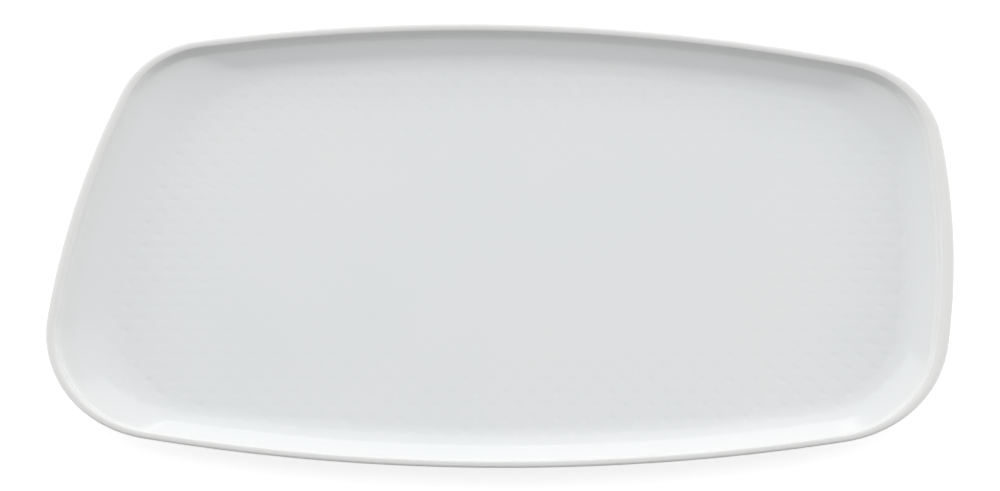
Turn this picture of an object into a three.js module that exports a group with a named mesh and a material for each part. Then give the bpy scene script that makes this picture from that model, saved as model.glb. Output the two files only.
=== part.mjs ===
// Rectangular serving dish in glazed porcelain, in millimetres.
// X runs along the dish, Y from its front edge to its back edge, Z up from the table it stands on.
// The origin is the middle of the dish's box, on the table.
import * as THREE from 'three';

// The rim in plan is four shallow arcs joined by four rounded corners. Each side has its reach from the middle, its
// lean away from square in degrees (turning anticlockwise from above) and the radius of its bow.
const FRONT_REACH = 96.9;
const FRONT_LEAN = 0;
const FRONT_BOW = 736;
const RIGHT_REACH = 169.2;
const RIGHT_LEAN = -5.7;
const RIGHT_BOW = 322;
const BACK_REACH = 96.65;
const BACK_LEAN = -1.5;
const BACK_BOW = 680;
const LEFT_REACH = 162;
const LEFT_LEAN = -16.4;
const LEFT_BOW = 380;
const FRONT_RIGHT_CORNER = 50;
const BACK_RIGHT_CORNER = 39;
const BACK_LEFT_CORNER = 36.5;
const FRONT_LEFT_CORNER = 47.5;

// Width of the lip on each side, from its outer edge to the top of the steep face inside it.
const FRONT_LIP = 2.9;
const RIGHT_LIP = 4.6;
const BACK_LIP = 3.3;
const LEFT_LIP = 3.5;
// Width of the wall on each side, from the rim's outer edge to the edge of the flat well.
const FRONT_WALL = 20.8;
const RIGHT_WALL = 20;
const BACK_WALL = 17;
const LEFT_WALL = 28.5;
// Corners of the well.
const FRONT_RIGHT_WELL_CORNER = 39;
const BACK_RIGHT_WELL_CORNER = 38;
const BACK_LEFT_WELL_CORNER = 46;
const FRONT_LEFT_WELL_CORNER = 37;

// Section through the wall.
const HEIGHT = 18;
const WELL_DEPTH = 9.5;
// The lip is a shallow crown with a rounded edge on either side. The crown ends where its surface is turned from level
// by these angles in degrees.
const LIP_OUTER_RADIUS = 0.7;
const LIP_INNER_RADIUS = 0.5;
const CROWN_OUTWARDS = 15;
const CROWN_INWARDS = 28;
// Slope in degrees and height of the steep face just inside the lip, and the reach of the fillet at its lower edge.
const LIP_FACE_SLOPE = 72;
const LIP_FACE_DROP = 3.2;
const LIP_FACE_FILLET = 1.1;
// Below that face the wall runs straight for this far across, then sweeps into the well.
const STRAIGHT_RUN = 7;
// Outside, the wall leaves the lip at this slope in degrees and sweeps in to the foot ring, this high above the table.
const UNDERSIDE_SLOPE = 56;
const UNDERSIDE_HEIGHT = 4;

// Foot ring, just inside the edge of the well.
const FOOT_SET_IN = 1;
const FOOT_WIDTH = 5;
const FOOT_DRAFT = 0.5;
const FOOT_FILLET = 1.25;
const FOOT_ROUNDING = 0.7;
const BASE_RECESS = 3.2;
const BASE_SWEEP = 2.5;
// The glaze and how far above the table it stops on the foot ring.
const GLAZE = 0.3;
const BARE_HEIGHT = 1.1;

// Straight pieces along each long side, short side and corner of the rim.
const LONG_STEPS = 14;
const SHORT_STEPS = 8;
const CORNER_STEPS = 10;
// Straight pieces along the curves of the section.
const UNDERSIDE_STEPS = 7;
const LIP_OUTER_STEPS = 3;
const LIP_CROWN_STEPS = 3;
const LIP_INNER_STEPS = 2;
const FILLET_STEPS = 2;
const WELL_STEPS = 6;
const BASE_STEPS = 4;

const PORCELAIN = { color: 0xe9e6df, roughness: 0.6, metalness: 0 };
const CLEAR_GLAZE = { color: 0xf3f4f5, roughness: 0.08, metalness: 0 };

const LIPS = [FRONT_LIP, RIGHT_LIP, BACK_LIP, LEFT_LIP];
const WALLS = [FRONT_WALL, RIGHT_WALL, BACK_WALL, LEFT_WALL];
const LIP = mean(LIPS);
const WALL = mean(WALLS);

function mean(values) {
  return values.reduce((sum, value) => sum + value, 0) / values.length;
}

// Section points have x as the distance in from the rim and y as the height.
function at(x, y) {
  return new THREE.Vector2(x, y);
}

// The direction that a surface faces when it is turned from level by an angle in degrees, inwards above zero.
function normalAt(turn) {
  const angle = THREE.MathUtils.degToRad(turn);
  return at(Math.sin(angle), Math.cos(angle));
}

function fall(slope) {
  return Math.tan(THREE.MathUtils.degToRad(slope));
}

// The crown takes up the lip's mean width between the two rounded edges.
const OUTER_EDGE_WIDTH = LIP_OUTER_RADIUS * (1 - normalAt(CROWN_OUTWARDS).x);
const INNER_EDGE_WIDTH = LIP_INNER_RADIUS * (normalAt(LIP_FACE_SLOPE).x - normalAt(CROWN_INWARDS).x);
const CROWN_WIDTH = LIP - OUTER_EDGE_WIDTH - INNER_EDGE_WIDTH;
const CROWN_RADIUS = CROWN_WIDTH / (normalAt(CROWN_OUTWARDS).x + normalAt(CROWN_INWARDS).x);
const CREST = LIP_OUTER_RADIUS + (CROWN_RADIUS - LIP_OUTER_RADIUS) * normalAt(CROWN_OUTWARDS).x;

// The point of the lip whose surface is turned from level by an angle in degrees.
function lipPoint(turn) {
  const centre = at(CREST, HEIGHT - CROWN_RADIUS);
  const edge = THREE.MathUtils.clamp(turn, -CROWN_OUTWARDS, CROWN_INWARDS);
  if (turn === edge) {
    return centre.addScaledVector(normalAt(turn), CROWN_RADIUS);
  }
  const radius = turn < 0 ? LIP_OUTER_RADIUS : LIP_INNER_RADIUS;
  centre.addScaledVector(normalAt(edge), CROWN_RADIUS - radius);
  return centre.addScaledVector(normalAt(turn), radius);
}

// Where the rounded inner edge of the lip ends, and where the steep face below it ends.
const LIP_END = lipPoint(LIP_FACE_SLOPE);
const FACE_END = at(LIP_END.x + LIP_FACE_DROP / fall(LIP_FACE_SLOPE), LIP_END.y - LIP_FACE_DROP);

// Plan shapes. Sides run anticlockwise from the front, and each corner follows the side of the same number.
const RIM = {
  sides: [
    { facing: -90 + FRONT_LEAN, reach: FRONT_REACH, bow: FRONT_BOW },
    { facing: RIGHT_LEAN, reach: RIGHT_REACH, bow: RIGHT_BOW },
    { facing: 90 + BACK_LEAN, reach: BACK_REACH, bow: BACK_BOW },
    { facing: 180 + LEFT_LEAN, reach: LEFT_REACH, bow: LEFT_BOW },
  ],
  corners: [FRONT_RIGHT_CORNER, BACK_RIGHT_CORNER, BACK_LEFT_CORNER, FRONT_LEFT_CORNER],
};
const STEPS = [LONG_STEPS, SHORT_STEPS, LONG_STEPS, SHORT_STEPS];

// A plan shape moved in by a distance on each side, with no corner tighter than a quarter of what it was.
function moveIn(shape, distances) {
  const sides = shape.sides.map((side, i) => ({
    facing: side.facing,
    reach: side.reach - distances[i],
    bow: side.bow - distances[i],
  }));
  const corners = shape.corners.map((radius, i) => {
    const distance = (distances[i] + distances[(i + 1) % 4]) / 2;
    return Math.max(radius - distance, radius / 4);
  });
  return { sides, corners };
}

function moveInEvenly(shape, distance) {
  return moveIn(shape, [distance, distance, distance, distance]);
}

function between(a, b, share) {
  const mix = THREE.MathUtils.lerp;
  return {
    sides: a.sides.map((side, i) => ({
      facing: mix(side.facing, b.sides[i].facing, share),
      reach: mix(side.reach, b.sides[i].reach, share),
      bow: mix(side.bow, b.sides[i].bow, share),
    })),
    corners: a.corners.map((radius, i) => mix(radius, b.corners[i], share)),
  };
}

const LIP_EDGE = moveIn(RIM, LIPS);
const WELL = {
  sides: moveIn(RIM, WALLS).sides,
  corners: [FRONT_RIGHT_WELL_CORNER, BACK_RIGHT_WELL_CORNER, BACK_LEFT_WELL_CORNER, FRONT_LEFT_WELL_CORNER],
};

// The plan shape at some distances in from the rim, where the mean widths of the lip and the wall are the distances.
const STATIONS = [
  { across: 0, shape: RIM },
  { across: CREST, shape: moveInEvenly(RIM, CREST) },
  { across: LIP_END.x, shape: LIP_EDGE },
  { across: FACE_END.x, shape: moveInEvenly(LIP_EDGE, FACE_END.x - LIP_END.x) },
  { across: WALL, shape: WELL },
];

function shapeAt(across) {
  const next = STATIONS.findIndex((station, i) => i > 0 && across <= station.across);
  if (next < 0) {
    return moveInEvenly(WELL, across - WALL);
  }
  const [a, b] = [STATIONS[next - 1], STATIONS[next]];
  return between(a.shape, b.shape, (across - a.across) / (b.across - a.across));
}

// Where a corner's arc has its centre: inside both side arcs, its own radius away from each.
function cornerCentre(a, radiusA, b, radiusB, outwards) {
  const line = b.clone().sub(a);
  const length = line.length();
  const along = (radiusA * radiusA - radiusB * radiusB + length * length) / (2 * length);
  const aside = Math.sqrt(Math.max(radiusA * radiusA - along * along, 0));
  line.divideScalar(length);
  const foot = a.clone().addScaledVector(line, along);
  const normal = new THREE.Vector2(-line.y, line.x);
  const sign = Math.sign(normal.dot(outwards));
  return foot.addScaledVector(normal, sign * aside);
}

function addArc(points, centre, radius, from, to, steps) {
  const start = Math.atan2(from.y, from.x);
  const turn = Math.PI * 2;
  const sweep = (((Math.atan2(to.y, to.x) - start) % turn) + turn) % turn;
  for (let i = 0; i < steps; i += 1) {
    const angle = start + (sweep * i) / steps;
    points.push(new THREE.Vector2(Math.cos(angle), Math.sin(angle)).multiplyScalar(radius).add(centre));
  }
}

function outline(shape) {
  const facings = shape.sides.map((side) => {
    const angle = THREE.MathUtils.degToRad(side.facing);
    return new THREE.Vector2(Math.cos(angle), Math.sin(angle));
  });
  const centres = shape.sides.map((side, i) => facings[i].clone().multiplyScalar(side.reach - side.bow));
  const corners = shape.corners.map((radius, i) => {
    const j = (i + 1) % 4;
    const outwards = facings[i].clone().add(facings[j]);
    const reachA = shape.sides[i].bow - radius;
    const reachB = shape.sides[j].bow - radius;
    return cornerCentre(centres[i], reachA, centres[j], reachB, outwards);
  });
  const points = [];
  for (let i = 0; i < 4; i += 1) {
    const before = corners[(i + 3) % 4].clone().sub(centres[i]);
    const after = corners[i].clone().sub(centres[i]);
    const beyond = corners[i].clone().sub(centres[(i + 1) % 4]);
    addArc(points, centres[i], shape.sides[i].bow, before, after, STEPS[i]);
    addArc(points, corners[i], shape.corners[i], after, beyond, CORNER_STEPS);
  }
  return points;
}

// The rim's box is centred on the origin.
const MIDDLE = new THREE.Box2().setFromPoints(outline(RIM)).getCenter(new THREE.Vector2());

// One closed ring of the dish at a point of the section.
function ring(point) {
  return outline(shapeAt(point.x)).map((p) => new THREE.Vector3(p.x - MIDDLE.x, p.y - MIDDLE.y, point.y));
}

// A curve that leaves its start towards a corner and comes into its end from there.
function sweep(start, corner, end, steps) {
  return new THREE.QuadraticBezierCurve(start, corner, end).getPoints(steps);
}

function towards(start, end, distance) {
  return end.clone().sub(start).setLength(distance).add(start);
}

function lipArc(from, to, steps) {
  return Array.from({ length: steps + 1 }, (_, i) => lipPoint(THREE.MathUtils.lerp(from, to, i / steps)));
}

// The glazed outer surface, from its edge on the foot ring over the lip to the well.
function glazedSection() {
  const footTop = at(WALL + FOOT_SET_IN, UNDERSIDE_HEIGHT);
  const glazeEdge = at(footTop.x + FOOT_DRAFT * (1 - BARE_HEIGHT / UNDERSIDE_HEIGHT), BARE_HEIGHT);
  const footFillet = at(footTop.x - FOOT_FILLET, UNDERSIDE_HEIGHT);
  const foot = [glazeEdge, ...sweep(towards(footTop, glazeEdge, FOOT_FILLET), footTop, footFillet, FILLET_STEPS)];

  const lip = [
    ...lipArc(UNDERSIDE_SLOPE - 180, -CROWN_OUTWARDS, LIP_OUTER_STEPS),
    ...lipArc(-CROWN_OUTWARDS, CROWN_INWARDS, LIP_CROWN_STEPS).slice(1, -1),
    ...lipArc(CROWN_INWARDS, LIP_FACE_SLOPE, LIP_INNER_STEPS),
  ];
  const drop = lip[0].y - UNDERSIDE_HEIGHT;
  const underside = at(lip[0].x + drop / fall(UNDERSIDE_SLOPE), UNDERSIDE_HEIGHT);
  const wall = sweep(footFillet, underside, lip[0], UNDERSIDE_STEPS).slice(1, -1);

  const well = at(WALL, HEIGHT - WELL_DEPTH);
  const sweepRun = WALL - FACE_END.x - STRAIGHT_RUN;
  const slope = (FACE_END.y - well.y) / (STRAIGHT_RUN + sweepRun / 2);
  const straightEnd = at(FACE_END.x + STRAIGHT_RUN, FACE_END.y - slope * STRAIGHT_RUN);
  const faceSide = towards(FACE_END, LIP_END, LIP_FACE_FILLET);
  const wallSide = towards(FACE_END, straightEnd, LIP_FACE_FILLET);
  const fillet = sweep(faceSide, FACE_END, wallSide, FILLET_STEPS);
  const inner = sweep(straightEnd, at(WALL - sweepRun / 2, well.y), well, WELL_STEPS);
  const floor = at(WALL + FOOT_SET_IN + FOOT_WIDTH, well.y);
  return [...foot, ...wall, ...lip, ...fillet, ...inner, floor];
}

// The underside's glazed surface, from the middle field to its edge on the foot ring.
function baseSection() {
  const footInside = WALL + FOOT_SET_IN + FOOT_WIDTH;
  const edge = at(footInside, BARE_HEIGHT);
  const top = at(footInside + FOOT_DRAFT, BASE_RECESS);
  const field = at(top.x + BASE_SWEEP, BASE_RECESS);
  const middle = at(field.x + BASE_SWEEP, BASE_RECESS);
  return [middle, ...sweep(field, top, edge, BASE_STEPS)];
}

// A section moved to its left by a distance, or to its right by a negative one.
function parallel(points, distance) {
  const normals = points.slice(1).map((p, i) => {
    const d = p.clone().sub(points[i]).normalize();
    return at(-d.y, d.x);
  });
  return points.map((p, i) => {
    const before = normals[Math.max(i - 1, 0)];
    const after = normals[Math.min(i, normals.length - 1)];
    const bisector = before.clone().add(after).normalize();
    return p.clone().addScaledVector(bisector, distance / bisector.dot(after));
  });
}

// A closed solid from section points that run from the middle of its underside to the middle of its upper side.
// The bands before "turned" split their four-sided faces along the other diagonal.
function solid(section, turned) {
  const rings = section.map(ring);
  const count = rings[0].length;
  const positions = [];
  const face = (...corners) => corners.forEach((p) => positions.push(p.x, p.y, p.z));
  const cap = (points, flipped) => {
    const middle = points.reduce((sum, p) => sum.add(p), new THREE.Vector3()).divideScalar(count);
    points.forEach((p, i) => {
      const next = points[(i + 1) % count];
      face(middle, ...(flipped ? [next, p] : [p, next]));
    });
  };
  cap(rings[0], true);
  for (let j = 0; j + 1 < rings.length; j += 1) {
    for (let i = 0; i < count; i += 1) {
      const k = (i + 1) % count;
      const [a, b, c, d] = [rings[j][i], rings[j][k], rings[j + 1][k], rings[j + 1][i]];
      if (j < turned) {
        face(a, b, d);
        face(b, c, d);
      } else {
        face(a, b, c);
        face(a, c, d);
      }
    }
  }
  cap(rings[rings.length - 1], false);
  const geometry = new THREE.BufferGeometry();
  geometry.setAttribute('position', new THREE.Float32BufferAttribute(positions, 3));
  geometry.computeVertexNormals();
  return geometry;
}

function piece(name, geometry, look) {
  const mesh = new THREE.Mesh(geometry, new THREE.MeshStandardMaterial(look));
  mesh.name = name;
  return mesh;
}

const upperOutside = glazedSection();
const upperInside = parallel(upperOutside, -GLAZE);
const baseOutside = baseSection();
const baseInside = parallel(baseOutside, -GLAZE);

// The bare foot between the two glazes: its sides run on down and round over to the bearing face.
const footOuter = upperInside[0];
const footInner = baseInside[baseInside.length - 1];
const bareFoot = [
  at(footInner.x, FOOT_ROUNDING),
  at(footInner.x - FOOT_ROUNDING, 0),
  at(footOuter.x + FOOT_ROUNDING, 0),
  at(footOuter.x, FOOT_ROUNDING),
];

const body = solid([...baseInside, ...bareFoot, ...upperInside], baseInside.length - 1);
const upper = solid([...upperInside.toReversed(), ...upperOutside], upperInside.length - 1);
const base = solid([...baseOutside, ...baseInside.toReversed()], 0);

const dish = new THREE.Group();
dish.name = 'serving_dish';
dish.add(piece('porcelain_body', body, PORCELAIN));
dish.add(piece('upper_glaze', upper, CLEAR_GLAZE));
dish.add(piece('base_glaze', base, CLEAR_GLAZE));

export default dish;
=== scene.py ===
"""A rectangular serving dish in white glazed porcelain, on a white floor under a broad studio light."""
import math

import bpy
import numpy as np
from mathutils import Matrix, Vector


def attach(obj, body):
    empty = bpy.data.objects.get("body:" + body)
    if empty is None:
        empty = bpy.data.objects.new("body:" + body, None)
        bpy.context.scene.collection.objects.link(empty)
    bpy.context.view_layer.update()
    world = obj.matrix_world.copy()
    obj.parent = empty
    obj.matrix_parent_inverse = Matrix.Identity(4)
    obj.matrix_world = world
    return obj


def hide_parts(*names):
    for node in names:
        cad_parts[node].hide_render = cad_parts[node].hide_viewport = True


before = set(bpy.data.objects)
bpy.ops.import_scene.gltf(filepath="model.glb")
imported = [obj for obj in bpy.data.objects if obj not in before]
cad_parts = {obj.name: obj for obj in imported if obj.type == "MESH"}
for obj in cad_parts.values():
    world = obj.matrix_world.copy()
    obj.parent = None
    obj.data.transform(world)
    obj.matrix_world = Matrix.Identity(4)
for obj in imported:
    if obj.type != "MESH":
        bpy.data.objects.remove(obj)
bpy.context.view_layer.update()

MM = 0.001

# Plan of the rim, in millimetres: facing in degrees, reach and bow of each side, anticlockwise from the
# front, and the radius of the corner that follows it.
RIM = np.array([
    [-90.0, 96.9, 736.0, 50.0],
    [-5.7, 169.2, 322.0, 39.0],
    [88.5, 96.65, 680.0, 36.5],
    [163.6, 162.0, 380.0, 47.5],
])
# Width of the lip on each side, from its outer edge to the top of the steep face inside it.
LIPS = np.array([2.9, 4.6, 3.3, 3.5])
# Width of the wall on each side, from the rim's outer edge to the edge of the flat well.
WALLS = np.array([20.8, 20.0, 17.0, 28.5])
# Radius of the well's corners, after the front, right, back and left sides.
WELL_CORNERS = np.array([39.0, 38.0, 46.0, 37.0])

# Section through the wall, in millimetres.
HEIGHT = 18.0
WELL_DEPTH = 9.5
LIP_OUTER_RADIUS = 0.7
LIP_INNER_RADIUS = 0.5
# The crown of the lip ends where its surface is turned this far from level.
CROWN_OUTWARDS = math.radians(15)
CROWN_INWARDS = math.radians(28)
LIP_FACE_SLOPE = math.radians(72)
LIP_FACE_DROP = 3.2
LIP_FACE_FILLET = 1.1
STRAIGHT_RUN = 7.0
UNDERSIDE_SLOPE = math.radians(56)
UNDERSIDE_HEIGHT = 4.0
FOOT_SET_IN = 1.0
FOOT_WIDTH = 5.0
FOOT_DRAFT = 0.5
FOOT_FILLET = 1.25
FOOT_ROUNDING = 0.7
BASE_RECESS = 3.2
BASE_SWEEP = 2.5
GLAZE = 0.3
BARE_HEIGHT = 1.1

# Moulded relief on the upper face: a plain staggered lattice of shallow dimples, strongest near the wall.
DIMPLE_COLUMN = 4.9
DIMPLE_ROW = 10.4
DIMPLE_RADIUS = 0.85
DIMPLE_DEPTH = 0.15

# The relief comes in over the last rings of the wall and fades towards the middle of the well, whose rings
# are close together near its edge. Shares are of the way from the middle to the edge.
RELIEF_WALL_RINGS = 36
CLOSE_RINGS = 45
CLOSE_SHARE = 0.45
WIDE_RINGS = 13
WIDE_SHARE = 0.03

# Straight pieces along each side and corner of the meshes, and the angle above which an edge stays sharp.
SIDE_STEPS = (230, 130, 230, 130)
CORNER_STEPS = 90
SHARP_ANGLE = math.radians(35)
FOOT_STEPS = 4
ROUNDING_STEPS = 4
BASE_STEPS = 8
# Pieces along the outside wall, points along each part of the lip, and pieces along the fillet and the sweep.
HIDDEN_STEPS = (10, 5, 4, 8)
VISIBLE_STEPS = (14, 9, 8, 24)

LIP = LIPS.mean()
WALL = WALLS.mean()
CROWN_WIDTH = (LIP - LIP_OUTER_RADIUS * (1 - math.sin(CROWN_OUTWARDS))
               - LIP_INNER_RADIUS * (math.sin(LIP_FACE_SLOPE) - math.sin(CROWN_INWARDS)))
CROWN_RADIUS = CROWN_WIDTH / (math.sin(CROWN_OUTWARDS) + math.sin(CROWN_INWARDS))
CREST = LIP_OUTER_RADIUS + (CROWN_RADIUS - LIP_OUTER_RADIUS) * math.sin(CROWN_OUTWARDS)


def lip_point(turn):
    """A point of the lip, whose surface is turned from level by an angle, inwards above zero."""
    radius = CROWN_RADIUS
    centre = np.array([CREST, HEIGHT - CROWN_RADIUS])
    edge = min(max(turn, -CROWN_OUTWARDS), CROWN_INWARDS)
    if turn != edge:
        radius = LIP_OUTER_RADIUS if turn < 0 else LIP_INNER_RADIUS
        centre += (CROWN_RADIUS - radius) * np.array([math.sin(edge), math.cos(edge)])
    return centre + radius * np.array([math.sin(turn), math.cos(turn)])


# Where the rounded inner edge of the lip ends, and where the steep face below it ends.
LIP_END = lip_point(LIP_FACE_SLOPE)
FACE_END = LIP_END + [LIP_FACE_DROP / math.tan(LIP_FACE_SLOPE), -LIP_FACE_DROP]


def inset(shape, distance):
    """A plan shape moved in by one distance, or by one for each side.

    No corner gets tighter than a quarter of what it was.
    """
    by_side = np.broadcast_to(distance, 4)
    by_corner = (by_side + np.roll(by_side, -1)) / 2
    out = shape - np.c_[np.zeros(4), by_side, by_side, by_corner]
    out[:, 3] = np.maximum(out[:, 3], shape[:, 3] / 4)
    return out


WELL = inset(RIM, WALLS)
WELL[:, 3] = WELL_CORNERS
LIP_EDGE = inset(RIM, LIPS)
STATIONS = [
    (0.0, RIM),
    (CREST, inset(RIM, CREST)),
    (LIP_END[0], LIP_EDGE),
    (FACE_END[0], inset(LIP_EDGE, FACE_END[0] - LIP_END[0])),
    (WALL, WELL),
]


def shape_at(across):
    """The plan shape at a distance in from the rim, measured by the mean widths of the lip and the wall."""
    for (start, a), (end, b) in zip(STATIONS, STATIONS[1:]):
        if across <= end:
            return a + (b - a) * (across - start) / (end - start)
    return inset(WELL, across - WALL)


def corner_centre(a, radius_a, b, radius_b, towards):
    line = b - a
    length = np.hypot(*line)
    along = (radius_a ** 2 - radius_b ** 2 + length ** 2) / (2 * length)
    aside = math.sqrt(max(radius_a ** 2 - along ** 2, 0.0))
    normal = np.array([-line[1], line[0]]) / length
    return a + line * along / length + normal * aside * np.sign(normal @ towards)


def arc(centre, radius, start, end, steps):
    first = math.atan2(start[1], start[0])
    turn = (math.atan2(end[1], end[0]) - first) % (2 * math.pi)
    angles = first + turn * np.arange(steps) / steps
    return centre + radius * np.c_[np.cos(angles), np.sin(angles)]


def outline(shape):
    facing = np.radians(shape[:, 0])
    facings = np.c_[np.cos(facing), np.sin(facing)]
    centres = facings * (shape[:, 1] - shape[:, 2])[:, None]
    corners = []
    for i in range(4):
        j = (i + 1) % 4
        radius = shape[i, 3]
        corners.append(corner_centre(centres[i], shape[i, 2] - radius, centres[j], shape[j, 2] - radius,
                                     facings[i] + facings[j]))
    parts = []
    for i in range(4):
        before = corners[i - 1] - centres[i]
        after = corners[i] - centres[i]
        beyond = corners[i] - centres[(i + 1) % 4]
        parts.append(arc(centres[i], shape[i, 2], before, after, SIDE_STEPS[i]))
        parts.append(arc(corners[i], shape[i, 3], after, beyond, CORNER_STEPS))
    return np.concatenate(parts)


RIM_LINE = outline(RIM)
MIDDLE = (RIM_LINE.min(0) + RIM_LINE.max(0)) / 2


def ring(point):
    """One closed ring of the dish, in millimetres, at a point of the section."""
    plan = outline(shape_at(point[0])) - MIDDLE
    return np.c_[plan, np.full(len(plan), point[1])]


def sweep(start, corner, end, steps):
    """A curve that leaves start towards corner and comes into end from there."""
    t = np.linspace(0, 1, steps + 1)[:, None]
    return (1 - t) ** 2 * np.array(start) + 2 * (1 - t) * t * np.array(corner) + t ** 2 * np.array(end)


def along(start, end, distance):
    step = end - start
    return start + step * distance / np.hypot(*step)


def glazed_section(wall_steps, lip_steps, face_steps, sweep_steps):
    """The glazed outer surface, from its edge on the foot ring over the lip to the well."""
    foot_top = np.array([WALL + FOOT_SET_IN, UNDERSIDE_HEIGHT])
    glaze_edge = np.array([foot_top[0] + FOOT_DRAFT * (1 - BARE_HEIGHT / UNDERSIDE_HEIGHT), BARE_HEIGHT])
    foot_fillet = foot_top - [FOOT_FILLET, 0]
    foot = sweep(along(foot_top, glaze_edge, FOOT_FILLET), foot_top, foot_fillet, FOOT_STEPS)
    turns = np.concatenate([np.linspace(UNDERSIDE_SLOPE - math.pi, -CROWN_OUTWARDS, lip_steps)[:-1],
                            np.linspace(-CROWN_OUTWARDS, CROWN_INWARDS, lip_steps)[:-1],
                            np.linspace(CROWN_INWARDS, LIP_FACE_SLOPE, lip_steps)])
    lip = np.array([lip_point(turn) for turn in turns])
    drop = lip[0, 1] - UNDERSIDE_HEIGHT
    under = [lip[0, 0] + drop / math.tan(UNDERSIDE_SLOPE), UNDERSIDE_HEIGHT]
    wall = sweep(foot_fillet, under, lip[0], wall_steps)[1:-1]
    well = np.array([WALL, HEIGHT - WELL_DEPTH])
    run = WALL - FACE_END[0]
    slope = (FACE_END[1] - well[1]) / (STRAIGHT_RUN + (run - STRAIGHT_RUN) / 2)
    straight_end = FACE_END + [STRAIGHT_RUN, -slope * STRAIGHT_RUN]
    fillet = sweep(along(FACE_END, LIP_END, LIP_FACE_FILLET), FACE_END,
                   along(FACE_END, straight_end, LIP_FACE_FILLET), face_steps)
    inner = sweep(straight_end, [(straight_end[0] + WALL) / 2, well[1]], well, sweep_steps)
    straight = np.linspace(fillet[-1], straight_end, sweep_steps // 2 + 1)[1:-1]
    return np.concatenate([[glaze_edge], foot, wall, lip, fillet, straight, inner])


def base_section(steps):
    """The underside's glazed surface, from the middle field to its edge on the foot ring."""
    inside = WALL + FOOT_SET_IN + FOOT_WIDTH
    field = [inside + FOOT_DRAFT + BASE_SWEEP, BASE_RECESS]
    curve = sweep(field, [inside + FOOT_DRAFT, BASE_RECESS], [inside, BARE_HEIGHT], steps)
    return np.concatenate([[[field[0] + BASE_SWEEP, BASE_RECESS]], curve])


def parallel(points, distance):
    """A section moved to its left by a distance, or to its right by a negative one."""
    steps = np.diff(points, axis=0)
    steps /= np.linalg.norm(steps, axis=1)[:, None]
    normals = np.c_[-steps[:, 1], steps[:, 0]]
    before = np.concatenate([normals[:1], normals])
    after = np.concatenate([normals, normals[-1:]])
    bisector = before + after
    bisector /= np.linalg.norm(bisector, axis=1)[:, None]
    return points + bisector * (distance / (bisector * after).sum(1))[:, None]


def build(name, rings, material):
    """A closed, smoothly shaded solid from rings that run from the middle below to the middle above."""
    rings = np.stack(rings) * MM
    rows, count = rings.shape[:2]
    points = np.concatenate([rings.reshape(-1, 3), rings[0].mean(0)[None], rings[-1].mean(0)[None]])
    i = np.arange(count)
    k = (i + 1) % count
    bands = (np.arange(rows - 1) * count)[:, None]
    quads = np.stack([bands + i, bands + k, bands + count + k, bands + count + i], axis=-1).reshape(-1, 4)
    low, high = rows * count, rows * count + 1
    last = (rows - 1) * count
    caps = np.concatenate([np.c_[np.full(count, low), k, i], np.c_[np.full(count, high), last + i, last + k]])
    corners = np.concatenate([quads.ravel(), caps.ravel()])
    sizes = np.concatenate([np.full(len(quads), 4), np.full(len(caps), 3)])
    mesh = bpy.data.meshes.new(name)
    mesh.vertices.add(len(points))
    mesh.vertices.foreach_set("co", points.ravel())
    mesh.loops.add(len(corners))
    mesh.loops.foreach_set("vertex_index", corners)
    mesh.polygons.add(len(sizes))
    mesh.polygons.foreach_set("loop_start", np.concatenate([[0], np.cumsum(sizes)[:-1]]))
    mesh.polygons.foreach_set("use_smooth", np.ones(len(sizes), bool))
    mesh.update(calc_edges=True)
    mesh.validate()
    mesh.set_sharp_from_angle(angle=SHARP_ANGLE)
    mesh.materials.append(material)
    piece = bpy.data.objects.new(name, mesh)
    bpy.context.collection.objects.link(piece)
    return piece


def dimples(points):
    """Depth of the relief under each point, from 0 to 1."""
    column = np.round(points[:, 0] / DIMPLE_COLUMN)
    shift = np.where(column % 2 == 0, 0.0, 0.5) * DIMPLE_ROW
    dx = points[:, 0] - column * DIMPLE_COLUMN
    dy = (points[:, 1] - shift + DIMPLE_ROW / 2) % DIMPLE_ROW - DIMPLE_ROW / 2
    return np.exp(-(dx ** 2 + dy ** 2) / (2 * DIMPLE_RADIUS ** 2))


# Materials. The glaze is a little cooler in colour low in the dish, and neutral higher up on the lip.
COOL_GLAZE_BELOW = 12.0
NEUTRAL_GLAZE_ABOVE = 16.0


def new_material(name):
    material = bpy.data.materials.new(name)
    material.use_nodes = True
    nodes = material.node_tree.nodes
    return material, nodes, material.node_tree.links, nodes["Principled BSDF"]


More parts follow.
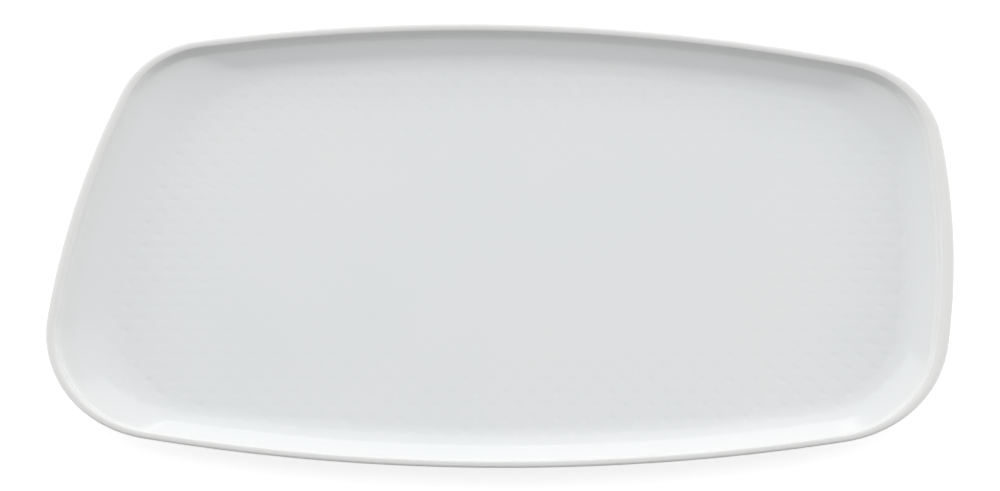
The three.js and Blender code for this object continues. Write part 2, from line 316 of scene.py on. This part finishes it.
def glaze_material():
    material, nodes, links, shader = new_material("white_glaze")
    place = nodes.new("ShaderNodeTexCoord")
    cloud = nodes.new("ShaderNodeTexNoise")
    cloud.inputs["Scale"].default_value = 14
    cloud.inputs["Detail"].default_value = 3
    tint = nodes.new("ShaderNodeValToRGB")
    tint.color_ramp.elements[0].position = 0.3
    tint.color_ramp.elements[0].color = (0.775, 0.795, 0.805, 1)
    tint.color_ramp.elements[1].position = 0.7
    tint.color_ramp.elements[1].color = (0.795, 0.81, 0.815, 1)
    links.new(place.outputs["Object"], cloud.inputs["Vector"])
    links.new(cloud.outputs["Fac"], tint.inputs["Fac"])
    # Low in the dish the colour keeps the cool tint; from a height on the wall it turns to a neutral white.
    axes = nodes.new("ShaderNodeSeparateXYZ")
    height_share = nodes.new("ShaderNodeMapRange")
    height_share.inputs["From Min"].default_value = COOL_GLAZE_BELOW * MM
    height_share.inputs["From Max"].default_value = NEUTRAL_GLAZE_ABOVE * MM
    cool_to_neutral = nodes.new("ShaderNodeMix")
    cool_to_neutral.data_type = "RGBA"
    cool_to_neutral.inputs["B"].default_value = (0.8, 0.8, 0.793, 1)
    links.new(place.outputs["Object"], axes.inputs["Vector"])
    links.new(axes.outputs["Z"], height_share.inputs["Value"])
    links.new(height_share.outputs["Result"], cool_to_neutral.inputs["Factor"])
    links.new(tint.outputs["Color"], cool_to_neutral.inputs["A"])
    links.new(cool_to_neutral.outputs["Result"], shader.inputs["Base Color"])
    peel = nodes.new("ShaderNodeTexNoise")
    peel.inputs["Scale"].default_value = 260
    peel.inputs["Detail"].default_value = 2
    links.new(place.outputs["Object"], peel.inputs["Vector"])
    gloss = nodes.new("ShaderNodeMapRange")
    gloss.inputs["To Min"].default_value = 0.06
    gloss.inputs["To Max"].default_value = 0.12
    links.new(peel.outputs["Fac"], gloss.inputs["Value"])
    links.new(gloss.outputs["Result"], shader.inputs["Roughness"])
    bump = nodes.new("ShaderNodeBump")
    bump.inputs["Strength"].default_value = 0.04
    bump.inputs["Distance"].default_value = 0.0002
    links.new(peel.outputs["Fac"], bump.inputs["Height"])
    links.new(bump.outputs["Normal"], shader.inputs["Normal"])
    shader.inputs["IOR"].default_value = 1.5
    return material


def bare_material():
    material, nodes, links, shader = new_material("bare_porcelain")
    place = nodes.new("ShaderNodeTexCoord")
    grain = nodes.new("ShaderNodeTexNoise")
    grain.inputs["Scale"].default_value = 900
    grain.inputs["Detail"].default_value = 4
    tint = nodes.new("ShaderNodeValToRGB")
    tint.color_ramp.elements[0].position = 0.35
    tint.color_ramp.elements[0].color = (0.66, 0.63, 0.58, 1)
    tint.color_ramp.elements[1].position = 0.65
    tint.color_ramp.elements[1].color = (0.75, 0.73, 0.69, 1)
    links.new(place.outputs["Object"], grain.inputs["Vector"])
    links.new(grain.outputs["Fac"], tint.inputs["Fac"])
    links.new(tint.outputs["Color"], shader.inputs["Base Color"])
    bump = nodes.new("ShaderNodeBump")
    bump.inputs["Strength"].default_value = 0.3
    bump.inputs["Distance"].default_value = 0.0001
    links.new(grain.outputs["Fac"], bump.inputs["Height"])
    links.new(bump.outputs["Normal"], shader.inputs["Normal"])
    shader.inputs["Roughness"].default_value = 0.75
    return material


GLAZED = glaze_material()
BARE = bare_material()

# The upper coat of glaze: its back face on the body, then its outer face with the relief.
upper_inner = parallel(glazed_section(*HIDDEN_STEPS), -GLAZE)
back = [ring(p) for p in upper_inner[::-1]]
outer = [ring(p) for p in glazed_section(*VISIBLE_STEPS)]
first_relief = len(outer) - RELIEF_WALL_RINGS
well_ring = outer[-1]
centre = np.append(well_ring[:, :2].mean(0), well_ring[0, 2])
shares = np.concatenate([np.linspace(1, CLOSE_SHARE, CLOSE_RINGS + 1)[1:],
                         np.linspace(CLOSE_SHARE, WIDE_SHARE, WIDE_RINGS + 1)[1:]])
outer += [centre + (well_ring - centre) * s for s in shares]
fade = np.concatenate([np.linspace(0, 1, RELIEF_WALL_RINGS), shares]) ** 2
for line, strength in zip(outer[first_relief:], fade):
    line[:, 2] -= DIMPLE_DEPTH * strength * dimples(line)
back_centre = centre - [0, 0, GLAZE]
back = [(back_centre + back[0]) / 2] + back
upper = build("upper_glaze_coat", back + outer, GLAZED)
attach(upper, "root")
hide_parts("upper_glaze")

# The fired body, which shows only at the bare foot.
base_outer = base_section(BASE_STEPS)
base_inner = parallel(base_outer, -GLAZE)
foot_inner, foot_outer = base_inner[-1], upper_inner[0]
turn = np.linspace(0, math.pi / 2, ROUNDING_STEPS + 1)
round_across = FOOT_ROUNDING * (1 - np.cos(turn))
round_height = FOOT_ROUNDING * (1 - np.sin(turn))
round_in = np.c_[foot_inner[0] - round_across, round_height]
round_out = np.c_[foot_outer[0] + round_across, round_height][::-1]
body_section = np.concatenate([base_inner, round_in, round_out, upper_inner])
body = build("bare_foot_body", [ring(p) for p in body_section], BARE)
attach(body, "root")
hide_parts("porcelain_body")

# The glaze on the underside.
field_section = np.concatenate([base_outer, base_inner[::-1]])
base = build("base_glaze_field", [ring(p) for p in field_section], GLAZED)
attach(base, "root")
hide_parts("base_glaze")


# White floor that curves up into a low backdrop all round: plain diffuse for the light, with a glow that only
# the camera and reflections see.
FLOOR_COLOUR = (0.5, 0.5, 0.5, 1)
FLOOR_GLOW = 0.76
FLOOR_RADIUS = 5.0
BACKDROP_CURVE = 0.6
BACKDROP_HEIGHT = 0.9
FLOOR_SIDES = 64
BACKDROP_STEPS = 8


def floor_material():
    material, nodes, links, shader = new_material("white_floor")
    shader.inputs["Base Color"].default_value = FLOOR_COLOUR
    shader.inputs["Roughness"].default_value = 0.9
    path = nodes.new("ShaderNodeLightPath")
    seen = nodes.new("ShaderNodeMath")
    seen.operation = "MAXIMUM"
    links.new(path.outputs["Is Camera Ray"], seen.inputs[0])
    also = nodes.new("ShaderNodeMath")
    also.operation = "MAXIMUM"
    links.new(path.outputs["Is Glossy Ray"], also.inputs[0])
    links.new(path.outputs["Is Transmission Ray"], also.inputs[1])
    links.new(also.outputs[0], seen.inputs[1])
    glow = nodes.new("ShaderNodeMath")
    glow.operation = "MULTIPLY"
    glow.inputs[1].default_value = FLOOR_GLOW
    links.new(seen.outputs[0], glow.inputs[0])
    links.new(glow.outputs[0], shader.inputs["Emission Strength"])
    shader.inputs["Emission Color"].default_value = (1, 1, 1, 1)
    return material


def make_floor():
    rise = np.linspace(0, math.pi / 2, BACKDROP_STEPS + 1)
    radii = np.append(FLOOR_RADIUS + BACKDROP_CURVE * np.sin(rise), FLOOR_RADIUS + BACKDROP_CURVE)
    heights = np.append(BACKDROP_CURVE * (1 - np.cos(rise)), BACKDROP_HEIGHT)
    angles = np.linspace(0, 2 * math.pi, FLOOR_SIDES, endpoint=False)
    points = [(r * math.cos(a), r * math.sin(a), h) for r, h in zip(radii, heights) for a in angles]
    faces = [tuple(range(FLOOR_SIDES))]
    for j in range(len(radii) - 1):
        for i in range(FLOOR_SIDES):
            k = (i + 1) % FLOOR_SIDES
            low, high = j * FLOOR_SIDES, (j + 1) * FLOOR_SIDES
            faces.append((low + i, high + i, high + k, low + k))
    mesh = bpy.data.meshes.new("floor")
    mesh.from_pydata(points, [], faces)
    mesh.polygons.foreach_set("use_smooth", np.ones(len(faces), bool))
    mesh.materials.append(floor_material())
    floor = bpy.data.objects.new("floor", mesh)
    bpy.context.collection.objects.link(floor)


make_floor()


# Light: softboxes at both ends, behind and overhead, low white cards behind and at both ends, and a room that
# is brightest overhead and dark on the camera's side.
def area_light(name, place, size, power):
    """A lamp that faces the dish."""
    data = bpy.data.lights.new(name, "AREA")
    data.shape = "RECTANGLE"
    data.size, data.size_y = size
    data.energy = power
    lamp = bpy.data.objects.new(name, data)
    lamp.location = place
    lamp.rotation_euler = (-place).to_track_quat("-Z", "Y").to_euler()
    bpy.context.collection.objects.link(lamp)


def around(elevation, azimuth, distance):
    """A place at an elevation above the dish, at an azimuth to the right of straight behind it."""
    e, a = math.radians(elevation), math.radians(azimuth)
    return distance * Vector((math.sin(a) * math.cos(e), math.cos(a) * math.cos(e), math.sin(e)))


area_light("left_softbox", around(22, -95, 0.9), (0.6, 0.4), 0.62)
area_light("right_softbox", around(22, 95, 0.9), (0.6, 0.4), 0.84)
area_light("back_softbox", around(33, 0, 0.8), (0.7, 0.4), 1.0)
area_light("top_softbox", around(90, 0, 1.1), (0.8, 0.8), 0.4)
area_light("back_card", around(10.5, 0, 1.2), (2.8, 0.44), 7.4)
area_light("left_card", around(7.5, -88, 1.2), (1.8, 0.36), 3.2)
area_light("right_card", around(7.5, 88, 1.2), (1.8, 0.36), 2.2)

# Brightness of the room from in front of the dish, at 0, to behind it, at 1.
ROOM_LEVELS = [(0.2, 0), (0.45, 1.3), (0.7, 0.65), (0.79, 1), (0.87, 0.6), (0.94, 0.25), (1, 0.25)]
world = bpy.data.worlds.new("room")
bpy.context.scene.world = world
world.use_nodes = True
sky = world.node_tree.nodes["Background"]
sky.inputs["Color"].default_value = (1, 1, 1, 1)
direction = world.node_tree.nodes.new("ShaderNodeTexCoord")
parts = world.node_tree.nodes.new("ShaderNodeSeparateXYZ")
depth = world.node_tree.nodes.new("ShaderNodeMapRange")
depth.inputs["From Min"].default_value = -1
depth.inputs["From Max"].default_value = 1
brightness = world.node_tree.nodes.new("ShaderNodeValToRGB")
ramp = brightness.color_ramp
for share, _ in ROOM_LEVELS[1:-1]:
    ramp.elements.new(share)
for stop, (share, level) in zip(ramp.elements, ROOM_LEVELS):
    stop.position = share
    stop.color = (level, level, level, 1)
world.node_tree.links.new(direction.outputs["Generated"], parts.inputs[0])
world.node_tree.links.new(parts.outputs["Y"], depth.inputs["Value"])
world.node_tree.links.new(depth.outputs["Result"], brightness.inputs["Fac"])
world.node_tree.links.new(brightness.outputs["Color"], sky.inputs["Strength"])

# Camera at the photograph's angle, with its focal length in pixels of the picture.
ELEVATION = math.radians(60)
DISTANCE = 1.02
FOCAL_PX = 2703.9
PICTURE_WIDTH = 1000
SENSOR = 36
AIM = Vector((-1.72, -4.45, lip_point(-math.pi / 2)[1])) * MM
camera_data = bpy.data.cameras.new("camera")
camera_data.sensor_width = SENSOR
camera_data.lens = SENSOR * FOCAL_PX / PICTURE_WIDTH
camera = bpy.data.objects.new("camera", camera_data)
camera.location = AIM + DISTANCE * Vector((0, -math.cos(ELEVATION), math.sin(ELEVATION)))
camera.rotation_euler = (math.pi / 2 - ELEVATION, 0, 0)
bpy.context.collection.objects.link(camera)
bpy.context.scene.camera = camera

bpy.context.scene.view_settings.view_transform = "Standard"
